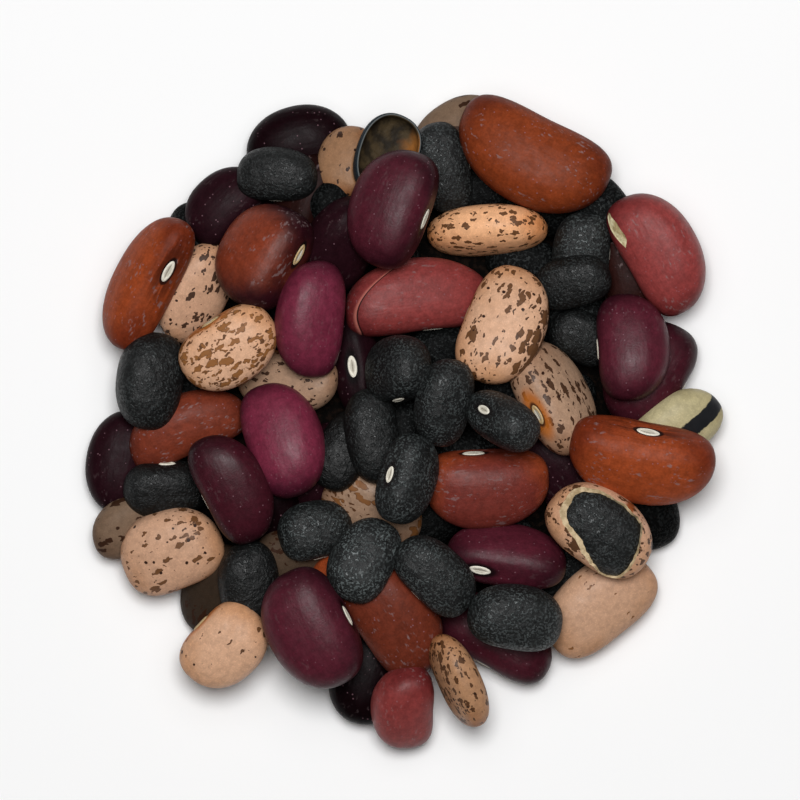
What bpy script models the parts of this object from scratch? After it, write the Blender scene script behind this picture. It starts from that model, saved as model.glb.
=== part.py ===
"""A low heap of mixed dried beans: black beans, kidney beans and pinto beans, lying loose on each other.

Lengths are in millimetres until the meshes are made. The heap's centre is the origin, on the surface it lies on.
The beans that show are listed as seen from straight above, and each is dropped on those before it.
"""

from math import cos, pi, radians, sin

import bmesh
import bpy
import numpy as np

MM = 0.001

# The view from above: how large one pixel of it is, and where the heap's centre lies in it
MM_PER_PIXEL = 0.12
VIEW_CENTRE = (399.5, 403.5)

# The core under the beans, a low dome with a flat underside
CORE_RADIUS = 28.5
CORE_HEIGHT = 5.0
CORE_STEPS = 4
CORE_SIDES = 24

# Beans on the core and round its edge, in the holes of the lowest layer
FILL_COUNT = 260
FILL_RADIUS = 34.6
FILL_SPACING = 7.4
FILL_SMALLEST = 0.90
FILL_LARGEST = 1.04
EDGE_RADIUS = 27.0
DARK_RADIUS = 29.0
SEED = 12

# A bean nestles into what carries it: how deep at most, how deep on average, and how far its outline may dip
# below what it lies on
DEPTH_LIMIT = 3.0
MEAN_DEPTH = 0.50
OUTLINE_DIP = 1.3
DROP_STEP = 0.1
# A tilt counts as better only if it brings the bean down by this much
WORTHWHILE_DROP = 0.02
# How far a bean may tilt from how it is listed as it settles, in degrees, and in how many steps
UPPER_GIVE = 12.0
LOW_GIVE = 24.0
TRIES = 5
# Corners of a few-sided bean lie on its skin, so it is made a little larger to keep its volume
FULL_CAGE_GROWTH = 1.035
LOW_CAGE_GROWTH = 1.08

# Height field that the beans settle on, and how many points of a bean are tried against it
CELL = 0.4
FIELD_REACH = 46.0
COARSE_POINTS = 500
FINE_POINTS = 5000
OUTLINE_POINTS = 24

HEAP_COLOUR = (0.105, 0.042, 0.034, 1.0)
HEAP_ROUGHNESS = 0.55

# Each kind of bean: thickness as a share of its width, how far its ends curve towards its eye as a share of its
# length, how full its corners are (2 is an ellipsoid), and its usual length and width
KINDS = {
    "black": dict(thick=0.80, bend=0.03, full=2.45, usual=(9.8, 6.8)),
    "burgundy": dict(thick=0.76, bend=0.07, full=2.40, usual=(13.6, 8.4)),
    "magenta": dict(thick=0.76, bend=0.05, full=2.40, usual=(14.0, 9.0)),
    "brick": dict(thick=0.82, bend=0.08, full=2.50, usual=(14.4, 8.4)),
    "orange": dict(thick=0.82, bend=0.09, full=2.50, usual=(15.6, 8.4)),
    "pinto": dict(thick=0.64, bend=0.05, full=2.40, usual=(13.0, 8.8)),
    "husk": dict(thick=0.75, bend=0.03, full=2.40, usual=(13.4, 11.0)),
    "shell": dict(thick=0.60, bend=0.02, full=2.40, usual=(10.6, 7.6)),
}
# Where along a bent bean its middle line crosses the straight axis, as a squared share of its half length
BEND_CROSSING = 0.35

# Kinds drawn for the beans that hardly show: only dark ones under the middle of the heap
SEEDED_KINDS = ("black", "burgundy", "pinto", "orange", "brick", "black", "pinto")
DARK_KINDS = ("black", "burgundy", "black")


def bean(kind, at, long, wide, turn, roll=0.0, lean=0.0, **settling):
    """One bean that shows: its centre in pixels of the view, its size, and how it lies, in degrees.

    turn is its long axis, counterclockwise; a roll above 0 turns its eye up, a lean above 0 lifts its far end.
    give is how far it may tilt as it settles, if not as usual, and sink is how much deeper than usual it lies.
    """
    centre = ((at[0] - VIEW_CENTRE[0]) * MM_PER_PIXEL, (VIEW_CENTRE[1] - at[1]) * MM_PER_PIXEL)
    return dict(kind=kind, centre=centre, long=long, wide=wide, turn=turn, roll=roll, lean=lean, **settling)


DEEP = [
    bean("burgundy", at=(298, 143), long=13.0, wide=8.6, turn=15),
    bean("brick", at=(305, 197), long=11.5, wide=6.6, turn=68),
    bean("black", at=(340, 198), long=8.4, wide=5.8, turn=30),
    bean("black", at=(194, 240), long=9.4, wide=6.2, turn=100),
    bean("black", at=(482, 190), long=9.6, wide=6.2, turn=20),
    bean("pinto", at=(459, 134), long=12.0, wide=8.2, turn=30),
    bean("black", at=(524, 260), long=9.2, wide=6.0, turn=-15),
    bean("black", at=(440, 352), long=9.2, wide=6.2, turn=10),
    bean("black", at=(470, 452), long=9.4, wide=6.0, turn=0),
    bean("brick", at=(627, 271), long=12.5, wide=7.0, turn=-80),
    bean("burgundy", at=(560, 474), long=13.4, wide=8.0, turn=-48),
    bean("burgundy", at=(268, 512), long=13.0, wide=7.6, turn=-70),
    bean("pinto", at=(294, 562), long=10.8, wide=8.0, turn=-15),
    bean("pinto", at=(216, 590), long=12.0, wide=8.0, turn=60),
    bean("orange", at=(338, 588), long=11.6, wide=7.2, turn=60),
    bean("burgundy", at=(366, 672), long=13.0, wide=8.0, turn=75),
    bean("burgundy", at=(118, 462), long=12.6, wide=7.4, turn=80),
    bean("black", at=(196, 398), long=9.4, wide=6.2, turn=60),
    bean("pinto", at=(138, 524), long=12.0, wide=7.6, turn=20),
    bean("black", at=(432, 522), long=9.6, wide=6.4, turn=40),
    bean("burgundy", at=(343, 243), long=12.8, wide=8.6, turn=62),
    bean("burgundy", at=(357, 366), long=12.0, wide=7.6, turn=-83, roll=80, give=0),
    bean("pinto", at=(287, 380), long=13.2, wide=7.8, turn=176, roll=-25),
    bean("pinto", at=(373, 508), long=12.8, wide=8.2, turn=-30),
    bean("burgundy", at=(650, 375), long=13.6, wide=9.8, turn=62),
    bean("pinto", at=(676, 430), long=12.5, wide=8.0, turn=38),
    bean("burgundy", at=(497, 638), long=15.0, wide=8.4, turn=-30),
    bean("black", at=(651, 512), long=9.6, wide=6.6, turn=-70),
    bean("black", at=(543, 206), long=9.8, wide=6.6, turn=-20),
    bean("black", at=(570, 572), long=9.6, wide=6.4, turn=40),
    bean("black", at=(602, 207), long=9.4, wide=6.4, turn=-50),
]

MIDDLE = [
    bean("black", at=(582, 337), long=8.2, wide=6.2, turn=-30),
    bean("black", at=(583, 252), long=10.0, wide=7.0, turn=85, roll=-16),
    bean("brick", at=(659, 252), long=15.6, wide=9.0, turn=-61, roll=-16),
    bean("burgundy", at=(224, 205), long=10.8, wide=7.6, turn=45),
    bean("pinto", at=(196, 292), long=13.0, wide=8.4, turn=63, roll=-16),
    bean("black", at=(443, 167), long=11.2, wide=6.8, turn=103, roll=-16),
    bean("pinto", at=(348, 162), long=9.0, wide=7.2, turn=80, sink=2.4),
    bean("orange", at=(186, 428), long=15.2, wide=7.4, turn=22),
    bean("black", at=(166, 489), long=10.6, wide=7.0, turn=183, roll=25),
    bean("pinto", at=(171, 552), long=12.6, wide=10.0, turn=20),
    bean("black", at=(250, 585), long=10.4, wide=7.4, turn=98),
    bean("orange", at=(391, 616), long=16.0, wide=9.8, turn=-56, roll=-16),
    bean("pinto", at=(600, 606), long=15.0, wide=9.4, turn=40),
    bean("pinto", at=(553, 397), long=14.4, wide=10.4, turn=-62, roll=56, give=0),
    bean("black", at=(345, 450), long=10.4, wide=6.6, turn=62),
    bean("burgundy", at=(507, 557), long=14.4, wide=8.6, turn=-8, roll=56, give=0),
    bean("brick", at=(486, 486), long=15.2, wide=9.5, turn=183, roll=18),
]

TOP = [
    bean("shell", at=(387, 156), long=10.6, wide=7.6, turn=70, sink=-1.4),
    bean("black", at=(277, 175), long=9.8, wide=6.6, turn=-3, roll=-16),
    bean("orange", at=(147, 281), long=17.4, wide=8.4, turn=62, roll=72),
    bean("black", at=(150, 381), long=11.8, wide=8.0, turn=82, roll=-24),
    bean("brick", at=(264, 256), long=13.0, wide=10.4, turn=60, roll=44, give=6),
    bean("pinto", at=(229, 348), long=12.6, wide=8.8, turn=213),
    bean("brick", at=(417, 299), long=17.9, wide=9.0, turn=6, roll=14),
    bean("magenta", at=(312, 319), long=14.2, wide=8.4, turn=84, roll=-12, give=6),
    bean("orange", at=(532, 155), long=19.4, wide=10.8, turn=153, roll=-8),
    bean("pinto", at=(487, 230), long=14.6, wide=8.6, turn=4, roll=-72),
    bean("black", at=(573, 282), long=9.4, wide=6.4, turn=14),
    bean("pinto", at=(502, 326), long=14.8, wide=9.9, turn=248, roll=4),
    bean("burgundy", at=(393, 208), long=14.6, wide=9.8, turn=70, roll=30),
    bean("burgundy", at=(631, 347), long=13.0, wide=8.8, turn=274, roll=14),
    bean("orange", at=(641, 459), long=17.6, wide=10.0, turn=169, roll=34, give=4),
    bean("black", at=(373, 436), long=11.6, wide=6.6, turn=98),
    bean("black", at=(398, 370), long=9.2, wide=8.0, turn=18, roll=22, lean=52, give=0),
    bean("black", at=(444, 403), long=10.8, wide=6.9, turn=78, roll=-20),
    bean("black", at=(503, 421), long=10.2, wide=7.4, turn=-30, roll=90, lean=45, give=0),
    bean("black", at=(407, 479), long=11.0, wide=7.4, turn=254, roll=50, give=0),
    bean("black", at=(315, 531), long=9.2, wide=7.2, turn=12),
    bean("black", at=(364, 560), long=10.6, wide=7.8, turn=62, roll=-16),
    bean("black", at=(435, 575), long=11.2, wide=7.2, turn=-43, roll=-16),
    bean("magenta", at=(282, 439), long=14.2, wide=9.4, turn=-72),
    bean("burgundy", at=(232, 488), long=14.0, wide=8.2, turn=-62),
    bean("pinto", at=(224, 646), long=11.4, wide=8.8, turn=225),
    bean("magenta", at=(312, 629), long=15.2, wide=10.4, turn=118, roll=12, give=6),
    bean("husk", at=(600, 530), long=13.8, wide=9.4, turn=-35),
    bean("black", at=(515, 618), long=11.4, wide=7.9, turn=-8),
    bean("brick", at=(405, 708), long=11.6, wide=7.6, turn=88, lean=30),
    bean("pinto", at=(459, 681), long=12.2, wide=7.0, turn=-66, roll=-68),
]


def seeded_bean(draw, kind, centre, turn):
    """A bean that hardly shows, of its kind's usual size."""
    long, wide = KINDS[kind]["usual"]
    size = draw.uniform(FILL_SMALLEST, FILL_LARGEST)
    return dict(kind=kind, centre=centre, long=long * size, wide=wide * size, turn=turn, roll=0.0, lean=0.0)


def fill_beans(draw):
    """Beans on the core, wherever a golden spiral meets a hole in the lowest layer."""
    edge = [b["centre"] for b in MIDDLE + TOP if np.hypot(*b["centre"]) > EDGE_RADIUS]
    taken = [b["centre"] for b in DEEP] + edge
    beans = []
    for k in range(FILL_COUNT):
        radius = FILL_RADIUS * ((k + 0.5) / FILL_COUNT) ** 0.5
        around = pi * (3 - 5**0.5) * k
        centre = (radius * cos(around), radius * sin(around))
        kinds = SEEDED_KINDS if radius > DARK_RADIUS else DARK_KINDS
        kind = kinds[draw.integers(len(kinds))]
        turn = draw.uniform(0, 180)
        if min(np.hypot(centre[0] - x, centre[1] - y) for x, y in taken) > FILL_SPACING:
            taken.append(centre)
            beans.append(seeded_bean(draw, kind, centre, turn))
    return beans


def core_height(radius):
    """The dome's height at a distance from its axis."""
    return CORE_HEIGHT * np.clip(1 - (radius / CORE_RADIUS) ** 2, 0, None)


def rotation(turn, roll, lean):
    """Matrix of a lying bean: rolled about its length, its far end lifted, then turned about the vertical."""
    t, r, p = radians(turn), radians(roll), radians(lean)
    about_length = np.array([[1, 0, 0], [0, cos(r), sin(r)], [0, -sin(r), cos(r)]])
    lifted = np.array([[cos(p), 0, -sin(p)], [0, 1, 0], [sin(p), 0, cos(p)]])
    turned = np.array([[cos(t), -sin(t), 0], [sin(t), cos(t), 0], [0, 0, 1]])
    return turned @ lifted @ about_length


def bean_skin(directions, b):
    """Points of a bean's skin for unit directions: x along its length, its eye at -y, z through its thickness."""
    kind = KINDS[b["kind"]]
    reach = (np.abs(directions) ** kind["full"]).sum(axis=1) ** (-1 / kind["full"])
    unit = directions * reach[:, None]
    skin = unit * np.array([b["long"], b["wide"], b["wide"] * kind["thick"]]) / 2
    skin[:, 1] -= kind["bend"] * b["long"] * (unit[:, 0] ** 2 - BEND_CROSSING)
    return skin


def ball(count):
    """Even directions over a sphere, on a golden spiral."""
    k = np.arange(count) + 0.5
    z = 1 - 2 * k / count
    around = pi * (1 + 5**0.5) * k
    ring = np.sqrt(1 - z * z)
    return np.stack([ring * np.cos(around), ring * np.sin(around), z], axis=1)


def cells_under(world, centre):
    """Height-field cells under the points of a bean."""
    index = np.rint((world[:, :2] + centre + FIELD_REACH) / CELL).astype(int)
    return index[:, 0], index[:, 1]


def resting_height(ground, world, centre):
    """Height of a bean's centre at which it nestles into the ground without losing its outline."""
    gap = ground[cells_under(world, centre)] - world[:, 2]
    around = np.linspace(0, 2 * pi, OUTLINE_POINTS, endpoint=False)
    outline = (world[:, :2] @ np.stack([np.cos(around), np.sin(around)])).argmax(axis=0)
    heights = gap.max() - np.arange(0, DEPTH_LIMIT, DROP_STEP)
    depths = np.clip(gap[None, :] - heights[:, None], 0, None).mean(axis=1)
    nestled = heights[depths <= MEAN_DEPTH].min()
    return max(nestled, gap[outline].max() - OUTLINE_DIP, -world[:, 2].min())


def settle(low_beans, upper_beans):
    """Drops the beans in order, each in the nearby attitude that lies lowest, and notes its matrix and height."""
    steps = np.arange(-FIELD_REACH, FIELD_REACH + CELL, CELL)
    ground = core_height(np.hypot(steps[:, None], steps[None, :]))
    coarse = ball(COARSE_POINTS)
    fine = ball(FINE_POINTS)
    for b in low_beans + upper_beans:
        give = b.get("give", LOW_GIVE if b in low_beans else UPPER_GIVE)
        tries = np.linspace(-give, give, TRIES)
        lowest = None
        skin = bean_skin(coarse, b)
        for roll_change in tries:
            for lean_change in tries:
                matrix = rotation(b["turn"], b["roll"] + roll_change, b["lean"] + lean_change)
                height = resting_height(ground, skin @ matrix.T, b["centre"])
                if lowest is None or height < lowest[0] - WORTHWHILE_DROP:
                    lowest = (height, matrix)
        b["height"] = lowest[0] - b.get("sink", 0.0)
        b["matrix"] = lowest[1]
        top = bean_skin(fine, b) @ b["matrix"].T
        np.maximum.at(ground, cells_under(top, b["centre"]), top[:, 2] + b["height"])


def make_material():
    material = bpy.data.materials.new("mixed_beans")
    material.use_nodes = True
    shader = material.node_tree.nodes["Principled BSDF"]
    shader.inputs["Base Color"].default_value = HEAP_COLOUR
    shader.inputs["Roughness"].default_value = HEAP_ROUGHNESS
    return material


def make_core(collection, material):
    """The dome: a profile down its outer side, turned about the axis."""
    radii = [CORE_RADIUS * k / CORE_STEPS for k in range(CORE_STEPS + 1)]
    profile = [(radius * MM, core_height(radius) * MM) for radius in radii]
    profile[-1] = (CORE_RADIUS * MM, 0.0)
    profile.append((0.0, 0.0))
    shape = bmesh.new()
    corners = [shape.verts.new((x, 0, z)) for x, z in profile]
    for start, end in zip(corners[:-1], corners[1:]):
        shape.edges.new((start, end))
    mesh = bpy.data.meshes.new("bean_heap")
    shape.to_mesh(mesh)
    shape.free()
    core = bpy.data.objects.new("bean_heap", mesh)
    mesh.materials.append(material)
    collection.objects.link(core)
    turned = core.modifiers.new("turned", "SCREW")
    turned.steps = CORE_SIDES
    turned.render_steps = CORE_SIDES
    turned.use_merge_vertices = True
    turned.merge_threshold = 0.00005
    return core


def make_bean(name, b, full_cage, collection, material):
    """A bean with few sides: 80 triangles, or 42 where it hardly shows."""
    shape = bmesh.new()
    if full_cage:
        bmesh.ops.create_icosphere(shape, subdivisions=2, radius=1)
        growth = FULL_CAGE_GROWTH
    else:
        bmesh.ops.create_uvsphere(shape, u_segments=7, v_segments=4, radius=1)
        growth = LOW_CAGE_GROWTH
    directions = np.array([v.co[:] for v in shape.verts])
    directions /= np.linalg.norm(directions, axis=1)[:, None]
    world = growth * bean_skin(directions, b) @ b["matrix"].T
    world += np.array([*b["centre"], b["height"]])
    world[:, 2] = np.maximum(world[:, 2], 0.0)
    for vert, place in zip(shape.verts, world):
        vert.co = place * MM
    mesh = bpy.data.meshes.new(name)
    shape.to_mesh(mesh)
    shape.free()
    mesh.materials.append(material)
    collection.objects.link(bpy.data.objects.new(name, mesh))


def join_beans(core, loose):
    """One union of the core with every bean, applied, with the loose beans then removed."""
    union = core.modifiers.new("union", "BOOLEAN")
    union.operation = "UNION"
    union.operand_type = "COLLECTION"
    union.collection = loose
    union.solver = "EXACT"
    evaluated = core.evaluated_get(bpy.context.evaluated_depsgraph_get())
    joined = bpy.data.meshes.new_from_object(evaluated)
    core.modifiers.clear()
    core.data = joined
    for piece in list(loose.objects):
        bpy.data.objects.remove(piece)
    bpy.data.collections.remove(loose)


def keep_main_shell(mesh):
    """Drops loose scraps and fills sealed pockets: only the largest connected surface stays."""
    shape = bmesh.new()
    shape.from_mesh(mesh)
    unseen = set(shape.verts)
    shells = []
    while unseen:
        shell = set()
        edge_of_shell = [unseen.pop()]
        while edge_of_shell:
            vert = edge_of_shell.pop()
            shell.add(vert)
            fresh = {edge.other_vert(vert) for edge in vert.link_edges} & unseen
            unseen -= fresh
            edge_of_shell.extend(fresh)
        shells.append(shell)
    main_shell = max(shells, key=len)
    dropped = [vert for vert in shape.verts if vert not in main_shell]
    bmesh.ops.delete(shape, geom=dropped, context="VERTS")
    shape.to_mesh(mesh)
    shape.free()


def main():
    for thing in list(bpy.data.objects):
        bpy.data.objects.remove(thing)
    heap = bpy.data.collections.new("heap_of_beans")
    loose = bpy.data.collections.new("loose_beans")
    bpy.context.scene.collection.children.link(heap)
    bpy.context.scene.collection.children.link(loose)
    material = make_material()
    low_beans = fill_beans(np.random.default_rng(SEED)) + DEEP
    upper_beans = MIDDLE + TOP
    settle(low_beans, upper_beans)
    core = make_core(heap, material)
    for index, b in enumerate(low_beans):
        make_bean(f"low_bean_{index}", b, False, loose, material)
    for index, b in enumerate(upper_beans):
        make_bean(f"upper_bean_{index}", b, True, loose, material)
    join_beans(core, loose)
    keep_main_shell(core.data)


main()
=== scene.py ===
"""The looks of a low heap of mixed dried beans, seen from straight above.

Lengths are in millimetres until the meshes are made. The beans are listed and dropped just as the solids
were, and then each is made as a round seed coat with its own colours, its eye and its marks.
"""

from math import cos, pi, radians, sin

import bmesh
import bpy
import numpy as np
from mathutils.bvhtree import BVHTree
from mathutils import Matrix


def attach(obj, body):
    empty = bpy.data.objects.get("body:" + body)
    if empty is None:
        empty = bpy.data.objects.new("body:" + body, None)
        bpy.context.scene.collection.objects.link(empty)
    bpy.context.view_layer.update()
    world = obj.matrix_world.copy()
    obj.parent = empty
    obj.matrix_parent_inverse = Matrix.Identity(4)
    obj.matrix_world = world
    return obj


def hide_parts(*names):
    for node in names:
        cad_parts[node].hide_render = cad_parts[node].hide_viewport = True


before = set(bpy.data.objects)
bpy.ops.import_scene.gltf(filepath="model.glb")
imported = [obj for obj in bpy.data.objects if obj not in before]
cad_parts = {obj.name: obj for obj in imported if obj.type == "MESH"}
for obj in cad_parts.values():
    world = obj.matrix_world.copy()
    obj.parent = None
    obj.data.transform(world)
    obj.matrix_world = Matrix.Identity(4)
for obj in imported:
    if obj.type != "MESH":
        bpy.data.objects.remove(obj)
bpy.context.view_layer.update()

NODE = "bean_heap"
BODY = "root"
MM = 0.001

# The view from above: how large one pixel of it is, and where the heap's centre lies in it
MM_PER_PIXEL = 0.12
VIEW_CENTRE = (399.5, 403.5)
FRAME_PIXELS = 800

# The dome that the solids have under the beans
CORE_RADIUS = 28.5
CORE_HEIGHT = 5.0

# Beans on the core and round its edge, in the holes of the lowest layer
FILL_COUNT = 260
FILL_RADIUS = 34.6
FILL_SPACING = 7.4
FILL_SMALLEST = 0.90
FILL_LARGEST = 1.04
EDGE_RADIUS = 27.0
DARK_RADIUS = 29.0
SEED = 12

# A bean nestles into what carries it: how deep at most, how deep on average, and how far its outline may dip
# below what it lies on
DEPTH_LIMIT = 3.0
MEAN_DEPTH = 0.50
OUTLINE_DIP = 1.3
DROP_STEP = 0.1
# A tilt counts as better only if it brings the bean down by this much
WORTHWHILE_DROP = 0.02
# How far a bean may tilt from how it is listed as it settles, in degrees, and in how many steps
UPPER_GIVE = 12.0
LOW_GIVE = 24.0
TRIES = 5

# Height field that the beans settle on, and how many points of a bean are tried against it
CELL = 0.4
FIELD_REACH = 46.0
COARSE_POINTS = 500
FINE_POINTS = 5000
OUTLINE_POINTS = 24

# Each kind of bean: thickness as a share of its width, how far its ends curve towards its eye as a share of
# its length, how full its corners are (2 is an ellipsoid), its usual length and width, and its eye's size
KINDS = {
    "black": dict(thick=0.80, bend=0.03, full=2.45, usual=(9.8, 6.8), eye=(2.1, 1.0)),
    "burgundy": dict(thick=0.76, bend=0.07, full=2.40, usual=(13.6, 8.4), eye=(2.7, 1.15)),
    "magenta": dict(thick=0.76, bend=0.05, full=2.40, usual=(14.0, 9.0), eye=(2.7, 1.1)),
    "brick": dict(thick=0.82, bend=0.08, full=2.50, usual=(14.4, 8.4), eye=(2.8, 1.15)),
    "orange": dict(thick=0.82, bend=0.09, full=2.50, usual=(15.6, 8.4), eye=(2.9, 1.2)),
    "pinto": dict(thick=0.64, bend=0.05, full=2.40, usual=(13.0, 8.8), eye=(2.6, 1.1)),
    "husk": dict(thick=0.75, bend=0.03, full=2.40, usual=(13.4, 11.0), eye=(2.6, 1.1)),
    "shell": dict(thick=0.60, bend=0.02, full=2.40, usual=(10.6, 7.6), eye=(2.2, 1.0)),
}
# Where along a bent bean its middle line crosses the straight axis, as a squared share of its half length
BEND_CROSSING = 0.35

# Kinds drawn for the beans that hardly show: only dark ones under the middle of the heap, where they
# also take the darker coats that paint the shade deep in the heap
SEEDED_KINDS = ("black", "burgundy", "pinto", "orange", "brick", "black", "pinto")
DARK_KINDS = ("black", "burgundy", "black")
# Darker coats that paint the shade on beans down in the gaps, and the low sheen of their shaded
# copies of the materials
SHADED_COATS = {"black": "shaded_black", "burgundy": "shaded_burgundy", "brick": "dull_brick", "pinto": "shaded_pinto"}
SHADED_SHEEN = 0.05

# Seed-coat colours in sRGB from 0 to 255: the face of a bean, and its ends and edges. The shaded coats
# are darker copies of others, painted shade for beans in the gaps
COATS = {
    "black": ((16, 18, 18), (9, 10, 10)),
    "shaded_black": ((9, 10, 10), (6, 7, 7)),
    "burgundy": ((78, 27, 39), (46, 14, 23)),
    "shaded_burgundy": ((33, 12, 18), (20, 7, 11)),
    "magenta": ((116, 40, 61), (68, 20, 36)),
    "brick": ((132, 55, 53), (94, 31, 32)),
    "russet": ((112, 46, 38), (146, 64, 34)),
    "red_brown": ((140, 60, 36), (48, 14, 22)),
    "dull_brick": ((46, 21, 18), (32, 13, 12)),
    "orange": ((146, 65, 32), (108, 42, 21)),
    "rust": ((122, 54, 36), (88, 34, 24)),
    "pinto": ((226, 178, 144), (212, 156, 114)),
    "peach": ((204, 160, 130), (192, 142, 106)),
    "tan": ((226, 170, 126), (202, 132, 82)),
    # A darker pinto coat, painted shade for pinto beans lying in shade
    "half_shaded_pinto": ((178, 144, 118), (160, 122, 96)),
    "shaded_pinto": ((118, 96, 78), (100, 78, 62)),
    "cream": ((198, 186, 144), (184, 170, 126)),
}
USUAL_COAT = {"husk": "peach", "shell": "shaded_burgundy"}
USUAL_MARKS = (0.5, 0.0, 0.3, 1.0)


def in_mm(at):
    """Place in the heap of a pixel of the view."""
    return np.array([(at[0] - VIEW_CENTRE[0]) * MM_PER_PIXEL, (VIEW_CENTRE[1] - at[1]) * MM_PER_PIXEL])


def bean(kind, at, long, wide, turn, roll=0.0, lean=0.0, **looks):
    """One bean that shows: its centre in pixels of the view, its size, and how it lies, in degrees.

    turn is its long axis, counterclockwise. A roll above 0 turns its eye up, a lean above 0 lifts one end.
    give is how far it may tilt as it settles, if not as usual, and sink how much deeper than usual it lies.
    marks are how blotched it is, how brown its blotches are, how dotted it is and how fine its marks are. The
    rest are its coat, how light it is, which is partly its own tone and partly painted shade below 1 and
    painted light above 1, how far its dark edge colour spreads, a band of blotches on its back, a stripe, a
    stain, a crack, a chip and its eye's place along it.
    """
    centre = tuple(in_mm(at))
    return dict(kind=kind, centre=centre, long=long, wide=wide, turn=turn, roll=roll, lean=lean, **looks)


def deep(kind, **looks):
    """A bean glimpsed in a gap, in its kind's darker coat of painted shade, unless its looks say otherwise.
    """
    return bean(kind, **(dict(coat=SHADED_COATS.get(kind, kind)) | looks))


# Beans glimpsed in the gaps: their darker coats and low tones paint the shade there
DEEP = [
    deep("burgundy", at=(298, 143), long=13.0, wide=8.6, turn=15, tone=0.45),
    deep("brick", at=(305, 197), long=11.5, wide=6.6, turn=68, tone=0.6),
    deep("black", at=(340, 198), long=8.4, wide=5.8, turn=30),
    deep("black", at=(194, 240), long=9.4, wide=6.2, turn=100),
    deep("black", at=(482, 190), long=9.6, wide=6.2, turn=20, tone=0.5),
    deep("pinto", at=(459, 134), long=12.0, wide=8.2, turn=30),
    deep("black", at=(524, 260), long=9.2, wide=6.0, turn=-15),
    deep("black", at=(440, 352), long=9.2, wide=6.2, turn=10),
    deep("black", at=(470, 452), long=9.4, wide=6.0, turn=0),
    deep("brick", at=(627, 271), long=12.5, wide=7.0, turn=-80, tone=0.7),
    deep("burgundy", at=(560, 474), long=13.4, wide=8.0, turn=-48),
    deep("burgundy", at=(268, 512), long=13.0, wide=7.6, turn=-70, tone=0.3),
    deep("pinto", at=(294, 562), long=10.8, wide=8.0, turn=-15, tone=0.4),
    deep("pinto", at=(216, 590), long=12.0, wide=8.0, turn=60, tone=0.2),
    deep("orange", at=(338, 588), long=11.6, wide=7.2, turn=60),
    deep("burgundy", at=(366, 672), long=13.0, wide=8.0, turn=75, tone=0.3),
    deep("burgundy", at=(118, 462), long=12.6, wide=7.4, turn=80),
    deep("black", at=(196, 398), long=9.4, wide=6.2, turn=60),
    deep("pinto", at=(138, 524), long=12.0, wide=7.6, turn=20),
    deep("black", at=(432, 522), long=9.6, wide=6.4, turn=40, tone=0.4),
    deep("burgundy", at=(343, 243), long=12.8, wide=8.6, turn=62),
    deep("burgundy", at=(357, 366), long=12.0, wide=7.6, turn=-83, roll=80, give=0),
    deep("pinto", at=(287, 380), long=13.2, wide=7.8, turn=176, roll=-25, coat="half_shaded_pinto", tone=0.85,
         marks=(0.5, 0.0, 0.6, 1.8)),
    deep("pinto", at=(373, 508), long=12.8, wide=8.2, turn=-30, coat="half_shaded_pinto", tone=0.75,
         marks=(0.8, 0.7, 0.3, 1.0)),
    deep("burgundy", at=(650, 375), long=13.6, wide=9.8, turn=62, coat="burgundy", tone=0.6),
    deep("pinto", at=(676, 430), long=12.5, wide=8.0, turn=38, coat="cream", tone=0.9,
         marks=(0.0, 0.0, 0.0, 1.0), stripe=True),
    deep("burgundy", at=(497, 638), long=15.0, wide=8.4, turn=-30, coat="burgundy", tone=0.7),
    deep("black", at=(651, 512), long=9.6, wide=6.6, turn=-70, tone=0.4),
    deep("black", at=(543, 206), long=9.8, wide=6.6, turn=-20, tone=0.4),
    deep("black", at=(570, 572), long=9.6, wide=6.4, turn=40),
    deep("black", at=(602, 207), long=9.4, wide=6.4, turn=-50),
]

# In this list and the next, a given tone is partly the bean's own, and partly painted shade below 1 and
# painted light above 1
MIDDLE = [
    bean("black", at=(582, 337), long=8.2, wide=6.2, turn=-30, tone=0.5),
    bean("black", at=(583, 252), long=10.0, wide=7.0, turn=85, roll=-16, tone=1.4),
    bean("brick", at=(659, 252), long=15.6, wide=9.0, turn=-61, roll=-16, chip=True),
    bean("burgundy", at=(224, 205), long=10.8, wide=7.6, turn=45, coat="shaded_burgundy"),
    bean("pinto", at=(196, 292), long=13.0, wide=8.4, turn=63, roll=-16, coat="peach",
         marks=(0.62, 0.0, 0.75, 1.5)),
    bean("black", at=(443, 167), long=11.2, wide=6.8, turn=103, roll=-16, tone=0.9),
    # Its low tone paints the shadow of the empty coat next to it
    bean("pinto", at=(348, 162), long=9.0, wide=7.2, turn=80, sink=2.4, coat="tan", tone=0.4,
         marks=(0.35, 0.0, 0.95, 1.4)),
    bean("orange", at=(186, 428), long=15.2, wide=7.4, turn=22, coat="rust", tone=0.9),
    bean("black", at=(166, 489), long=10.6, wide=7.0, turn=183, roll=25, tone=0.3),
    bean("pinto", at=(171, 552), long=12.6, wide=10.0, turn=20, coat="peach", marks=(0.6, 0.4, 0.6, 1.6)),
    bean("black", at=(250, 585), long=10.4, wide=7.4, turn=98, tone=0.3),
    bean("orange", at=(391, 616), long=16.0, wide=9.8, turn=-56, roll=-16, coat="rust", tone=0.7),
    bean("pinto", at=(600, 606), long=15.0, wide=9.4, turn=40, tone=0.72, marks=(0.3, 0.8, 0.1, 1.6)),
    bean("pinto", at=(553, 397), long=14.4, wide=10.4, turn=-62, roll=56, give=0, coat="half_shaded_pinto", eye=1.0,
         marks=(0.65, 0.1, 0.6, 1.5)),
    bean("black", at=(345, 450), long=10.4, wide=6.6, turn=62, tone=0.2),
    bean("burgundy", at=(507, 557), long=14.4, wide=8.6, turn=-8, roll=56, give=0, eye=-3.0),
    bean("brick", at=(486, 486), long=15.2, wide=9.5, turn=183, roll=18, coat="russet", eye=1.4, tone=0.92),
]

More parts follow.
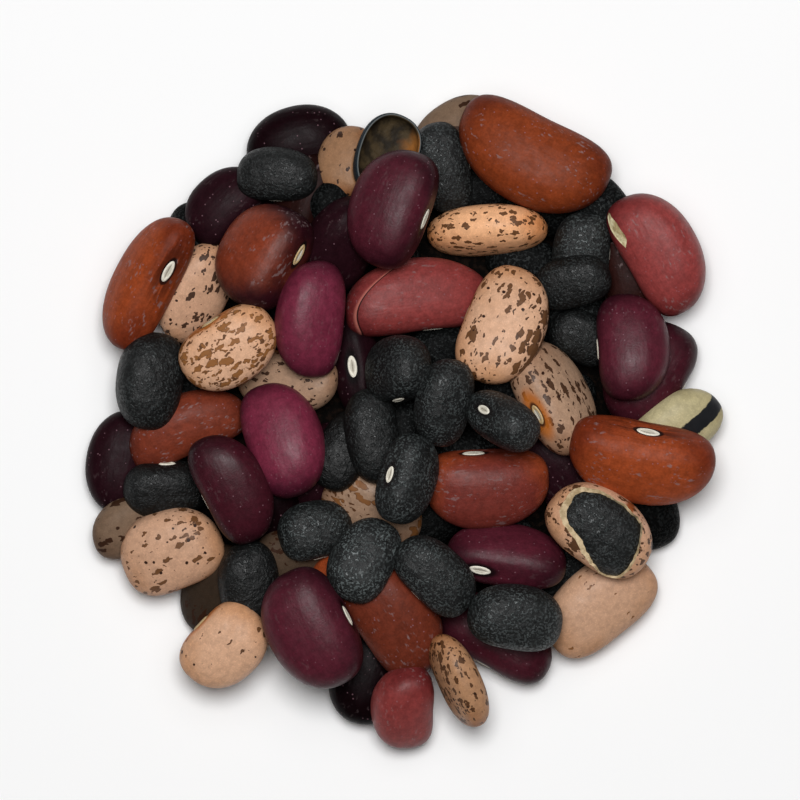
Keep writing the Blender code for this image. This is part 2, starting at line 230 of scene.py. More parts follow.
TOP = [
    bean("shell", at=(387, 156), long=10.6, wide=7.6, turn=70, sink=-1.4),
    bean("black", at=(277, 175), long=9.8, wide=6.6, turn=-3, roll=-16, tone=0.5),
    bean("orange", at=(147, 281), long=17.4, wide=8.4, turn=62, roll=72, eye=2.9),
    bean("black", at=(150, 381), long=11.8, wide=8.0, turn=82, roll=-24, tone=0.6),
    bean("brick", at=(264, 256), long=13.0, wide=10.4, turn=60, roll=44, give=6, coat="red_brown", tone=0.75,
         eye=2.2, flush=0.12),
    bean("pinto", at=(229, 348), long=12.6, wide=8.8, turn=213, marks=(0.9, 1.0, 0.0, 1.4), tone=0.94),
    bean("brick", at=(417, 299), long=17.9, wide=9.0, turn=6, roll=14, crack=True, eye=1.5),
    bean("magenta", at=(312, 319), long=14.2, wide=8.4, turn=84, roll=-12, give=6, tone=0.85),
    bean("orange", at=(532, 155), long=19.4, wide=10.8, turn=153, roll=-8, tone=0.7),
    bean("pinto", at=(487, 230), long=14.6, wide=8.6, turn=4, roll=-72, coat="tan", tone=1.1,
         marks=(0.65, 0.3, 0.1, 1.7)),
    bean("black", at=(573, 282), long=9.4, wide=6.4, turn=14, tone=0.6),
    bean("pinto", at=(502, 326), long=14.8, wide=9.9, turn=248, roll=4, marks=(0.72, 0.35, 0.5, 1.2),
         band=1.0, tone=0.92),
    bean("burgundy", at=(393, 208), long=14.6, wide=9.8, turn=70, roll=30, tone=0.8),
    bean("burgundy", at=(631, 347), long=13.0, wide=8.8, turn=274, roll=14),
    bean("orange", at=(641, 459), long=17.6, wide=10.0, turn=169, roll=34, give=4),
    bean("black", at=(373, 436), long=11.6, wide=6.6, turn=98, tone=0.5),
    bean("black", at=(398, 370), long=9.2, wide=8.0, turn=18, roll=22, lean=52, give=0),
    bean("black", at=(444, 403), long=10.8, wide=6.9, turn=78, roll=-20, tone=1.2),
    bean("black", at=(503, 421), long=10.2, wide=7.4, turn=-30, roll=90, lean=45, give=0, tone=1.2,
         eye=-0.5),
    bean("black", at=(407, 479), long=11.0, wide=7.4, turn=254, roll=50, give=0, tone=1.4),
    bean("black", at=(315, 531), long=9.2, wide=7.2, turn=12, tone=1.3),
    bean("black", at=(364, 560), long=10.6, wide=7.8, turn=62, roll=-16, tone=2.1),
    bean("black", at=(435, 575), long=11.2, wide=7.2, turn=-43, roll=-16, tone=1.2),
    bean("magenta", at=(282, 439), long=14.2, wide=9.4, turn=-72, tone=0.85),
    bean("burgundy", at=(232, 488), long=14.0, wide=8.2, turn=-62, tone=0.6),
    bean("pinto", at=(224, 646), long=11.4, wide=8.8, turn=225, tone=0.9, marks=(0.3, 0.3, 0.5, 1.5)),
    bean("magenta", at=(312, 629), long=15.2, wide=10.4, turn=118, roll=12, give=6, coat="burgundy",
         eye=-0.4),
    bean("husk", at=(600, 530), long=13.8, wide=9.4, turn=-35, marks=(0.75, 0.2, 0.4, 1.4),
         stain=(630, 507)),
    bean("black", at=(515, 618), long=11.4, wide=7.9, turn=-8, tone=1.3),
    bean("brick", at=(405, 708), long=11.6, wide=7.6, turn=88, lean=30),
    bean("pinto", at=(459, 681), long=12.2, wide=7.0, turn=-66, roll=-68, coat="tan", tone=0.6,
         marks=(0.8, 0.2, 0.7, 1.8)),
]


def seeded_bean(draw, kind, centre, turn):
    """A bean that hardly shows, of its kind's usual size."""
    long, wide = KINDS[kind]["usual"]
    size = draw.uniform(FILL_SMALLEST, FILL_LARGEST)
    return dict(kind=kind, centre=centre, long=long * size, wide=wide * size, turn=turn, roll=0.0, lean=0.0)


def fill_beans(draw):
    """Beans on the core, wherever a golden spiral meets a hole in the lowest layer."""
    edge = [b["centre"] for b in MIDDLE + TOP if np.hypot(*b["centre"]) > EDGE_RADIUS]
    taken = [b["centre"] for b in DEEP] + edge
    beans = []
    for k in range(FILL_COUNT):
        radius = FILL_RADIUS * ((k + 0.5) / FILL_COUNT) ** 0.5
        around = pi * (3 - 5**0.5) * k
        centre = (radius * cos(around), radius * sin(around))
        kinds = SEEDED_KINDS if radius > DARK_RADIUS else DARK_KINDS
        kind = kinds[draw.integers(len(kinds))]
        turn = draw.uniform(0, 180)
        if min(np.hypot(centre[0] - x, centre[1] - y) for x, y in taken) > FILL_SPACING:
            taken.append(centre)
            beans.append(seeded_bean(draw, kind, centre, turn))
            # Under the middle of the heap the beans take the darker coats, painted shade
            if radius <= DARK_RADIUS:
                beans[-1]["coat"] = SHADED_COATS[kind]
    return beans


def core_height(radius):
    """The dome's height at a distance from its axis."""
    return CORE_HEIGHT * np.clip(1 - (radius / CORE_RADIUS) ** 2, 0, None)


def rotation(turn, roll, lean):
    """Matrix of a lying bean: rolled about its length, its far end lifted, then turned about the vertical."""
    t, r, p = radians(turn), radians(roll), radians(lean)
    about_length = np.array([[1, 0, 0], [0, cos(r), sin(r)], [0, -sin(r), cos(r)]])
    lifted = np.array([[cos(p), 0, -sin(p)], [0, 1, 0], [sin(p), 0, cos(p)]])
    turned = np.array([[cos(t), -sin(t), 0], [sin(t), cos(t), 0], [0, 0, 1]])
    return turned @ lifted @ about_length


def unit_skin(directions, b):
    """Points of a full-cornered ball of half size 1 for unit directions."""
    full = KINDS[b["kind"]]["full"]
    reach = (np.abs(directions) ** full).sum(axis=1) ** (-1 / full)
    return directions * reach[:, None]


def sized_skin(unit, b):
    """Those points stretched to a bean's size and bent: x along its length, its eye at -y, z through it."""
    kind = KINDS[b["kind"]]
    skin = unit * half_size(b)
    skin[:, 1] -= kind["bend"] * b["long"] * (unit[:, 0] ** 2 - BEND_CROSSING)
    return skin


def half_size(b):
    return np.array([b["long"], b["wide"], b["wide"] * KINDS[b["kind"]]["thick"]]) / 2


def bean_skin(directions, b):
    return sized_skin(unit_skin(directions, b), b)


def ball(count):
    """Even directions over a sphere, on a golden spiral."""
    k = np.arange(count) + 0.5
    z = 1 - 2 * k / count
    around = pi * (1 + 5**0.5) * k
    ring = np.sqrt(1 - z * z)
    return np.stack([ring * np.cos(around), ring * np.sin(around), z], axis=1)


def cells_under(world, centre):
    """Height-field cells under the points of a bean."""
    index = np.rint((world[:, :2] + centre + FIELD_REACH) / CELL).astype(int)
    return index[:, 0], index[:, 1]


def resting_height(ground, world, centre):
    """Height of a bean's centre at which it nestles into the ground without losing its outline."""
    gap = ground[cells_under(world, centre)] - world[:, 2]
    around = np.linspace(0, 2 * pi, OUTLINE_POINTS, endpoint=False)
    outline = (world[:, :2] @ np.stack([np.cos(around), np.sin(around)])).argmax(axis=0)
    heights = gap.max() - np.arange(0, DEPTH_LIMIT, DROP_STEP)
    depths = np.clip(gap[None, :] - heights[:, None], 0, None).mean(axis=1)
    nestled = heights[depths <= MEAN_DEPTH].min()
    return max(nestled, gap[outline].max() - OUTLINE_DIP, -world[:, 2].min())


def settle(low_beans, upper_beans):
    """Drops the beans in order, each in the nearby attitude that lies lowest, and notes how it then lies."""
    steps = np.arange(-FIELD_REACH, FIELD_REACH + CELL, CELL)
    ground = core_height(np.hypot(steps[:, None], steps[None, :]))
    coarse = ball(COARSE_POINTS)
    fine = ball(FINE_POINTS)
    for b in low_beans + upper_beans:
        give = b.get("give", LOW_GIVE if b in low_beans else UPPER_GIVE)
        tries = np.linspace(-give, give, TRIES)
        lowest = None
        skin = bean_skin(coarse, b)
        for roll_change in tries:
            for lean_change in tries:
                matrix = rotation(b["turn"], b["roll"] + roll_change, b["lean"] + lean_change)
                height = resting_height(ground, skin @ matrix.T, b["centre"])
                if lowest is None or height < lowest[0] - WORTHWHILE_DROP:
                    lowest = (height, matrix)
        b["height"] = lowest[0] - b.get("sink", 0.0)
        b["matrix"] = lowest[1]
        top = bean_skin(fine, b) @ b["matrix"].T
        np.maximum.at(ground, cells_under(top, b["centre"]), top[:, 2] + b["height"])


# How each bean departs from an even shape: taper along its length, lumps as a share of its size, and how many
# waves make them up and how tight these are
TAPER = 0.04
LUMP_SHARE = 0.022
LUMP_WAVES = 6
LUMP_TIGHTNESS = 2.2
TONE_SPREAD = 0.06
GRAIN_SHIFT = 200.0
LOOKS_SEED = 23

# The dimple round an eye, and how far it reaches in eye sizes
DIMPLE = 0.28
DIMPLE_REACH = 1.9
# The eye's own relief, with places and widths in half eye sizes from its middle
EYE_RISE = 0.11
EYE_RIM = 0.06
RIM_PLACE = 0.8
RIM_WIDTH = 0.16
EYE_SLIT = 0.11
SLIT_WIDTH = 0.14
EYE_SUNK = 0.10
SUNK_FROM = 0.92
EYE_OVERLAP = 1.12
EYE_RINGS = 9
EYE_SIDES = 28

EYE_CREAM = (236, 230, 214)
EYE_TAN = (190, 158, 104)

# How far under the empty coat its neighbour is kept, and how near that neighbour lies
TUCK_GAP = 0.1
TUCK_REACH = 6.0

# Fineness of the icospheres that become beans
SHOWN_FINENESS = 5
LOW_FINENESS = 4

# The crack across the end of one brick bean: a curve that gives x from y in the bean's own frame, and how far
# down its side it runs
CRACK_CURVE = (-7.53, 0.543, 0.171)
CRACK_LOWEST = -1.0
# A distance at which a crack, stripe or stain doesn't show, and a height over the whole heap
FAR_OFF = 50.0
OVER_ALL = 100.0

# How far the edge colour comes in from a bean's ends and from its eye's side
END_SHARE = 0.75
EYE_SIDE_SHARE = 0.6

# How closely the band along a bean's back keeps to its outline
BAND_EASE = 6

# The dark stripe along one pale bean, as its middle's place across the bean
STRIPE_PLACE = -0.2


def linear(colour):
    """Linear values of a colour given in sRGB from 0 to 255."""
    share = np.array(colour) / 255
    return np.where(share <= 0.04045, share / 12.92, ((share + 0.055) / 1.055) ** 2.4)


def rgba(colour):
    return (*linear(colour), 1.0)


def icosphere(fineness):
    """Directions and triangles of an icosphere."""
    shape = bmesh.new()
    bmesh.ops.create_icosphere(shape, subdivisions=fineness, radius=1)
    directions = np.array([v.co[:] for v in shape.verts])
    faces = np.array([[v.index for v in face.verts] for face in shape.faces])
    shape.free()
    return directions / np.linalg.norm(directions, axis=1)[:, None], faces


def give_character(beans, draw):
    """Notes each bean's seeded lumps, taper and tones; a listed tone partly paints light and shade."""
    for b in beans:
        b["waves"] = draw.normal(0, LUMP_TIGHTNESS, (LUMP_WAVES, 3))
        b["phases"] = draw.uniform(0, 2 * pi, LUMP_WAVES)
        b["taper"] = draw.uniform(-TAPER, TAPER)
        b["shift"] = draw.uniform(-GRAIN_SHIFT, GRAIN_SHIFT, 3)
        tone = draw.uniform(1 - TONE_SPREAD, 1 + TONE_SPREAD) * b.get("tone", 1.0)
        name = b.get("coat", USUAL_COAT.get(b["kind"], b["kind"]))
        b["face_colour"], b["edge_colour"] = (linear(colour) * tone for colour in COATS[name])


def eye_place(skin, b):
    """How far points lie from the middle of a bean's eye, in half eye sizes along and across it."""
    length, width = KINDS[b["kind"]]["eye"]
    return (skin[:, 0] - b.get("eye", 0.0)) / (length / 2), skin[:, 2] / (width / 2)


def polar_grid(radii, sides):
    """Distance and angle of a middle point and then of the rings of points round it."""
    around = np.tile(np.linspace(0, 2 * pi, sides, endpoint=False), len(radii))
    return np.concatenate([[0.0], np.repeat(radii, sides)]), np.concatenate([[0.0], around])


def strips(rows, sides, start=0):
    """Faces between rings of points that follow one another."""
    faces = []
    for row in range(rows - 1):
        here = start + row * sides
        for k in range(sides):
            following = (k + 1) % sides
            faces.append((here + k, here + following, here + sides + following, here + sides + k))
    return faces


def disc_faces(rings, sides):
    """Faces of a polar grid, turned up."""
    inmost = [(0, 1 + k, 1 + (k + 1) % sides) for k in range(sides)]
    return inmost + [(a, d, c, b) for a, b, c, d in strips(rings, sides, start=1)]


def finished_skin(unit, b):
    """A bean's skin in its own frame, with its taper, its lumps and the dimple round its eye."""
    skin = sized_skin(unit, b)
    skin[:, 1] *= 1 + b["taper"] * unit[:, 0]
    lumps = np.sin(unit @ b["waves"].T + b["phases"]).mean(axis=1)
    skin *= 1 + LUMP_SHARE * lumps[:, None]
    along, across = eye_place(skin, b)
    closeness = np.exp(-(along**2 + across**2) / DIMPLE_REACH**2) * (unit[:, 1] < 0)
    skin[:, 1] += DIMPLE * closeness
    return skin


def middle(b):
    return np.array([*b["centre"], b["height"]])


def in_own_frame(points, b):
    """Points of the heap in a bean's own frame."""
    return (points - middle(b)) @ b["matrix"]


def placed(skin, b):
    """Points of a bean's own frame in the heap, none of them under the floor."""
    world = skin @ b["matrix"].T + middle(b)
    world[:, 2] = np.maximum(world[:, 2], 0.0)
    return world


class Batch:
    """Points, faces and marks of many pieces that become one mesh."""

    def __init__(self):
        self.points = []
        self.faces = []
        self.marks = {}
        self.count = 0

    def add(self, points, faces, marks):
        self.points.append(points)
        self.faces.extend((np.asarray(face) + self.count).tolist() for face in faces)
        self.count += len(points)
        for name, values in marks.items():
            self.marks.setdefault(name, []).append(np.broadcast_to(values, (len(points), 3)))

    def piece(self, name, materials, slot):
        """Makes them one piece of the heap."""
        mesh = bpy.data.meshes.new(name)
        mesh.from_pydata(np.concatenate(self.points) * MM, [], self.faces)
        write_marks(mesh, {mark: np.concatenate(values) for mark, values in self.marks.items()})
        finish_piece(name, mesh, materials)


def lone_piece(name, points, faces, marks, material, slot):
    """A piece that no other shares its mesh with."""
    batch = Batch()
    batch.add(points, faces, marks)
    batch.piece(name, [material], slot)


def write_marks(mesh, marks):
    """Notes at a mesh's points what its materials read."""
    for name, values in marks.items():
        values = np.broadcast_to(values, (len(mesh.vertices), 3)).astype(np.float32)
        mesh.attributes.new(name, "FLOAT_VECTOR", "POINT").data.foreach_set("vector", values.ravel())


def finish_piece(name, mesh, materials):
    """Makes a mesh a smooth piece of the heap."""
    mesh.validate()
    mesh.polygons.foreach_set("use_smooth", [True] * len(mesh.polygons))
    for material in materials:
        mesh.materials.append(material)
    piece = bpy.data.objects.new(name, mesh)
    bpy.context.scene.collection.objects.link(piece)
    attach(piece, BODY)
    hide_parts(NODE)


def bean_marks(skin, b):
    """What the materials read at each point of a bean."""
    along, across = eye_place(skin, b)
    unit = skin / half_size(b)
    front = np.where(skin[:, 1] < 0, 1.0, 0.0)
    edge = END_SHARE * unit[:, 0] ** 2 + EYE_SIDE_SHARE * np.clip(-unit[:, 1], 0, None) ** 2
    nowhere = np.full(len(skin), FAR_OFF)
    crack = nowhere
    if "crack" in b:
        start, slope, curve = CRACK_CURVE
        crack = skin[:, 0] - (start + slope * skin[:, 1] + curve * skin[:, 1] ** 2)
        crack = np.where(skin[:, 2] > CRACK_LOWEST, crack, FAR_OFF)
    spots, brown, dots, fine = b.get("marks", USUAL_MARKS)
    marks = {
        "grain": skin + b["shift"],
        "eye_place": np.stack([along, across, front], axis=1),
        "coat": b["face_colour"],
        "edge": b["edge_colour"],
        "amounts": np.stack([edge + b.get("flush", 0.0), np.full(len(skin), spots), crack], axis=1),
    }
    if b["kind"] in ("pinto", "husk"):
        stripe = np.abs(skin[:, 1] - STRIPE_PLACE) if "stripe" in b else nowhere
        stain = nowhere
        if "stain" in b:
            spread = placed(skin, b)[:, :2] - in_mm(b["stain"])
            stain = np.where(skin[:, 2] > 0, np.hypot(*spread.T), FAR_OFF)
        marks["tint"] = np.array([brown, dots, fine])
        marks["amounts"][:, 2] = b.get("band", 0.0) * np.clip(unit[:, 1], 0, 1) ** BAND_EASE
        marks["patches"] = np.stack([stripe, stain, np.zeros(len(skin))], axis=1)
    return marks


def tucked_under(points, shell):
    """Points pressed down to the underside of the empty coat wherever they would rise into it."""
    half = half_size(shell)
    full = KINDS["shell"]["full"]
    own = in_own_frame(points, shell)
    share = np.clip(1 - (np.abs(own[:, :2]) / half[:2]) ** full @ np.ones(2), 0, 1) ** (1 / full)
    level = -half[2] * share - TUCK_GAP
    own[:, 2] = np.where((share > 0) & (own[:, 2] > level), level, own[:, 2])
    return own @ shell["matrix"].T + middle(shell)


def add_bean(batch, b, sphere, shell=None):
    directions, faces = sphere
    skin = finished_skin(unit_skin(directions, b), b)
    points = placed(skin, b)
    if shell is not None:
        points = tucked_under(points, shell)
    batch.add(points, faces, bean_marks(skin, b))


def eye_relief(ring, across):
    """Height of an eye's surface over the skin: a low cushion with a raised rim and a slit along it."""
    cushion = EYE_RISE * np.clip(1 - ring**6, 0, None)
    rim = EYE_RIM * np.exp(-(((ring - RIM_PLACE) / RIM_WIDTH) ** 2))
    slit = EYE_SLIT * np.exp(-((across / SLIT_WIDTH) ** 2)) * np.clip(1 - ring**2, 0, None)
    return cushion + rim - slit - EYE_SUNK * np.clip(ring - SUNK_FROM, 0, None) / (EYE_OVERLAP - SUNK_FROM)


def add_eye(batch, b):
    """A bean's eye: an oval patch on its skin."""
    length, width = KINDS[b["kind"]]["eye"]
    full = KINDS[b["kind"]]["full"]
    ring, angle = polar_grid(np.linspace(0, EYE_OVERLAP, EYE_RINGS + 1)[1:], EYE_SIDES)
    along, across = ring * np.cos(angle), ring * np.sin(angle)
    eye = b.get("eye", 0.0)
    spot = np.stack([eye + along * length / 2, np.zeros(len(along)), across * width / 2], axis=1)
    unit = spot / half_size(b)
    unit[:, 1] = -np.clip(1 - np.abs(unit[:, 0]) ** full - np.abs(unit[:, 2]) ** full, 0, 1) ** (1 / full)
    skin = finished_skin(unit, b)
    skin[:, 1] -= eye_relief(ring, across)
    pale = EYE_TAN if b["kind"] == "pinto" or b.get("coat") == "red_brown" else EYE_CREAM
    batch.add(placed(skin, b), disc_faces(EYE_RINGS, EYE_SIDES), {
        "eye_place": np.stack([along, across, ring], axis=1),
        "grain": skin + b["shift"],
        "coat": linear(pale),
    })


class Shading:
    """A material's nodes under construction."""

    def __init__(self, name):
        self.material = bpy.data.materials.new(name)
        self.material.use_nodes = True
        self.tree = self.material.node_tree
        self.shader = self.tree.nodes["Principled BSDF"]

    def put(self, socket, value):
        if isinstance(value, bpy.types.NodeSocket):
            self.tree.links.new(value, socket)
        else:
            socket.default_value = value

    def finish(self, **inputs):
        for name, value in inputs.items():
            self.put(self.shader.inputs[name.replace("_", " ")], value)
        return self.material

    def node(self, kind, inputs, **settings):
        """A new node with its settings, and what goes into it by the sockets' names or places."""
        node = self.tree.nodes.new("ShaderNode" + kind)
        for name, value in settings.items():
            setattr(node, name, value)
        for name, value in inputs.items():
            self.put(node.inputs[name], value)
        return node

    def read(self, name):
        """A mark of the mesh."""
        return self.node("Attribute", {}, attribute_name=name).outputs["Vector"]

    def split(self, vector):
        node = self.node("SeparateXYZ", {0: vector})
        return node.outputs["X"], node.outputs["Y"], node.outputs["Z"]

    def math(self, operation, first, second=0.0):
        return self.node("Math", {0: first, 1: second}, operation=operation).outputs[0]

    def plus(self, first, second):
        return self.math("ADD", first, second)

    def minus(self, first, second):
        return self.math("SUBTRACT", first, second)

    def times(self, first, second):
        return self.math("MULTIPLY", first, second)

    def vector(self, operation, first, second):
        node = self.node("VectorMath", {0: first, 1: second}, operation=operation)
        return node.outputs["Value" if operation == "DISTANCE" else "Vector"]

    def brighten(self, colour, amount):
        return self.node("VectorMath", {"Vector": colour, "Scale": amount}, operation="SCALE").outputs[0]

    def noise(self, vector, scale, detail=2.0, output="Fac"):
        return self.node("TexNoise", {"Vector": vector, "Scale": scale, "Detail": detail}).outputs[output]

    def cells(self, vector, scale):
        """Distance to the nearest of scattered points, and a random value for that point."""
        node = self.node("TexVoronoi", {"Vector": vector, "Scale": scale})
        return node.outputs["Distance"], self.split(node.outputs["Color"])[0]

    def ramp(self, value, low, high, start=0.0, end=1.0):
        """Eases from start to end as the value goes from low to high."""
        inputs = dict(enumerate((value, low, high, start, end)))
        return self.node("MapRange", inputs, interpolation_type="SMOOTHSTEP").outputs[0]

    def fade(self, value, low, high):
        """Eases from 1 to 0 as the value goes from low to high."""
        return self.ramp(value, low, high, 1.0, 0.0)

    def mix(self, amount, first, second, strength=1.0):
        """Goes from the first colour to the second by an amount times a strength."""
        if strength != 1.0:
            amount = self.times(amount, strength)
        node = self.node("Mix", {}, data_type="RGBA")
        for name, given in (("Factor_Float", amount), ("A_Color", first), ("B_Color", second)):
            self.put(next(s for s in node.inputs if s.identifier == name), given)
        return next(s for s in node.outputs if s.identifier == "Result_Color")

    def bump(self, height, distance):
        """Relief of a height from 0 to 1 that is that many millimetres high."""
        return self.node("Bump", {"Distance": distance * MM, "Height": height}).outputs[0]

    def around_eye(self, inner, outer):
        """1 at the eye's edge, and 0 that many half eye sizes out."""
        along, across, front = self.split(self.read("eye_place"))
        distance = self.math("SQRT", self.plus(self.math("POWER", along, 2), self.math("POWER", across, 2)))
        return self.times(self.fade(distance, inner, outer), front)


# Colours of the marks and of painted shade, in sRGB from 0 to 255
SPECK = rgba((150, 112, 122))
SCUFF = rgba((134, 116, 116))
EYE_RING = rgba((12, 8, 9))
# Painted shade in the creases by an orange bean's eye
CREASE_SHADE = rgba((58, 22, 14))
# Painted shade in a black bean's small pits
PIT_SHADE = rgba((14, 15, 15))
MARK_DARK = rgba((48, 26, 15))
MARK_BROWN = rgba((138, 88, 42))
MARK_EDGE = rgba((86, 51, 23))
STAIN = rgba((140, 66, 16))
STRIPE = rgba((26, 27, 30))
ORANGE_RING = rgba((186, 104, 34))
EYE_GREY = rgba((192, 186, 170))
EYE_SLIT_BROWN = rgba((92, 70, 52))
# A dark line of painted shade along a crack
CRACK_SHADE = rgba((48, 16, 16))
CRACK_LIP = rgba((196, 120, 106))
RIM_CREAM = rgba((212, 188, 150))
RIM_TAN = rgba((170, 146, 108))
CHIP_TAN = rgba((168, 150, 108))
CHIP_CREAM = rgba((222, 212, 172))
SHELL_INSIDE = rgba((66, 54, 36))
SHELL_DARK = rgba((34, 28, 20))
SHELL_ORANGE = rgba((150, 96, 44))
SHELL_RIM = rgba((92, 96, 96))
SHELL_SKIN = rgba((30, 38, 44))
# Painted shade on the dome under the beans
CORE_SHADE_DARK = rgba((8, 6, 5))
CORE_SHADE_BROWN = rgba((24, 16, 12))

# How much paler than its coat a black bean's flecks are, which are partly its grain and partly painted glints
FLECK_GLINT_GAIN = 11.0
# How far the pinto beans' marks wander, and a shift to a fresh part of a pattern
WANDER = 1.2
HALF = (0.5, 0.5, 0.5)
OFF = (37.0, 11.0, 23.0)
# Stretches along a bean: how much slower a pattern goes by along x than across
DASH_STRETCH = (0.38, 1.0, 1.0)
FOLD_STRETCH = (0.12, 1.1, 1.1)
SCUFF_STRETCH = (0.5, 1.0, 1.0)
LENGTHWISE = (0.3, 1.0, 1.0)
# Where in the empty coat its stain is
SHELL_STAIN = (2.3, -2.4, 0.0)


def kidney_material(name, speckle=1.0, gloss=0.36, scuffs=0.4, ring=1.0, folds=0.0, sheen=0.20):
    """Satin seed coat of a kidney bean: two tones, mottling, pale specks, scuffs, and creases at its eye with
    painted shade in them, and painted shade along a crack.
    """
    s = Shading(name)
    grain = s.read("grain")
    edge, _, crack = s.split(s.read("amounts"))
    reach = s.plus(edge, s.times(s.noise(grain, 0.28), 0.5))
    colour = s.mix(s.ramp(reach, 0.45, 1.15), s.read("coat"), s.read("edge"))
    colour = s.brighten(colour, s.ramp(s.noise(grain, 1.1, detail=5.0), 0.3, 0.7, 1.14, 0.86))
    colour = s.brighten(colour, s.ramp(s.noise(grain, 3.5, detail=3.0), 0.3, 0.7, 0.90, 1.12))
    distance, chance = s.cells(grain, 1.5)
    speck = s.times(s.fade(distance, 0.09, 0.17), s.math("GREATER_THAN", chance, 0.5))
    colour = s.mix(speck, colour, SPECK, 0.42 * speckle)
    scuff = s.ramp(s.noise(s.vector("MULTIPLY", grain, SCUFF_STRETCH), 2.2, detail=5.0), 0.57, 0.66)
    scuff = s.times(scuff, s.ramp(s.noise(grain, 0.3), 0.50, 0.60))
    colour = s.mix(scuff, colour, SCUFF, 0.55 * scuffs)
    creases = s.noise(s.vector("MULTIPLY", grain, FOLD_STRETCH), 1.0)
    # Creases by the eye, with painted shade in them
    crease_shade = s.times(s.fade(creases, 0.44, 0.52), s.around_eye(1.4, 4.2))
    colour = s.mix(crease_shade, colour, CREASE_SHADE, 0.16 * folds)
    colour = s.mix(s.around_eye(1.2, 1.0 + ring), colour, EYE_RING, 0.9)
    lip = s.times(s.ramp(crack, -0.55, -0.12), s.fade(crack, -0.05, 0.02))
    colour = s.mix(lip, colour, CRACK_LIP, 0.6)
    # Painted shade along the crack
    colour = s.mix(s.fade(s.math("ABSOLUTE", crack), 0.05, 0.13), colour, CRACK_SHADE)
    relief = s.noise(s.vector("MULTIPLY", grain, LENGTHWISE), 0.8)
    relief = s.plus(relief, s.times(s.noise(grain, 4.0), 0.20))
    relief = s.plus(relief, s.times(s.times(creases, s.around_eye(1.5, 5.0)), folds))
    rough = s.ramp(s.noise(grain, 0.9, detail=4.0), 0.3, 0.7, gloss, gloss + 0.12)
    rough = s.plus(rough, s.times(scuff, 0.2))
    return s.finish(Base_Color=colour, Roughness=rough, Specular_IOR_Level=sheen, Normal=s.bump(relief, 0.10))


def black_material(name, sheen=0.34):
    """Dull charcoal seed coat with pale crumbs and hairlines, partly painted glints, and small pits with
    painted shade in them.
    """
    s = Shading(name)
    grain = s.read("grain")
    coat = s.read("coat")
    warped = s.vector("ADD", grain, s.noise(grain, 1.5, output="Color"))
    net = s.math("ABSOLUTE", s.minus(s.noise(warped, 2.6, detail=1.0), 0.5))
    lines = s.ramp(net, 0.0, 0.05, 0.14, 0.0)
    crumbs = s.ramp(s.noise(s.vector("ADD", grain, OFF), 3.4, detail=1.0), 0.48, 0.62)
    fleck_patches = s.ramp(s.noise(grain, 0.45), 0.32, 0.68, 0.30, 1.0)
    bright = s.times(s.math("MAXIMUM", lines, crumbs), fleck_patches)
    colour = s.mix(s.ramp(s.noise(grain, 0.5, detail=4.0), 0.35, 0.7), s.read("edge"), coat)
    # Pale flecks, partly the coat's grain and partly painted glints
    colour = s.mix(bright, colour, s.brighten(coat, FLECK_GLINT_GAIN), 0.75)
    distance, chance = s.cells(grain, 0.9)
    pit = s.times(s.fade(distance, 0.14, 0.22), s.math("GREATER_THAN", chance, 0.62))
    # Painted shade in the pits
    colour = s.mix(pit, colour, PIT_SHADE, 0.8)
    colour = s.mix(s.around_eye(1.3, 2.0), colour, EYE_RING)
    relief = s.plus(s.noise(grain, 0.9, detail=5.0), s.times(bright, 0.30))
    relief = s.minus(relief, s.times(pit, 0.3))
    rough = s.ramp(s.noise(grain, 1.2, detail=3.0), 0.3, 0.7, 0.50, 0.62)
    rough = s.minus(rough, s.times(bright, 0.20))
    return s.finish(Base_Color=colour, Roughness=rough, Specular_IOR_Level=sheen, Normal=s.bump(relief, 0.26))


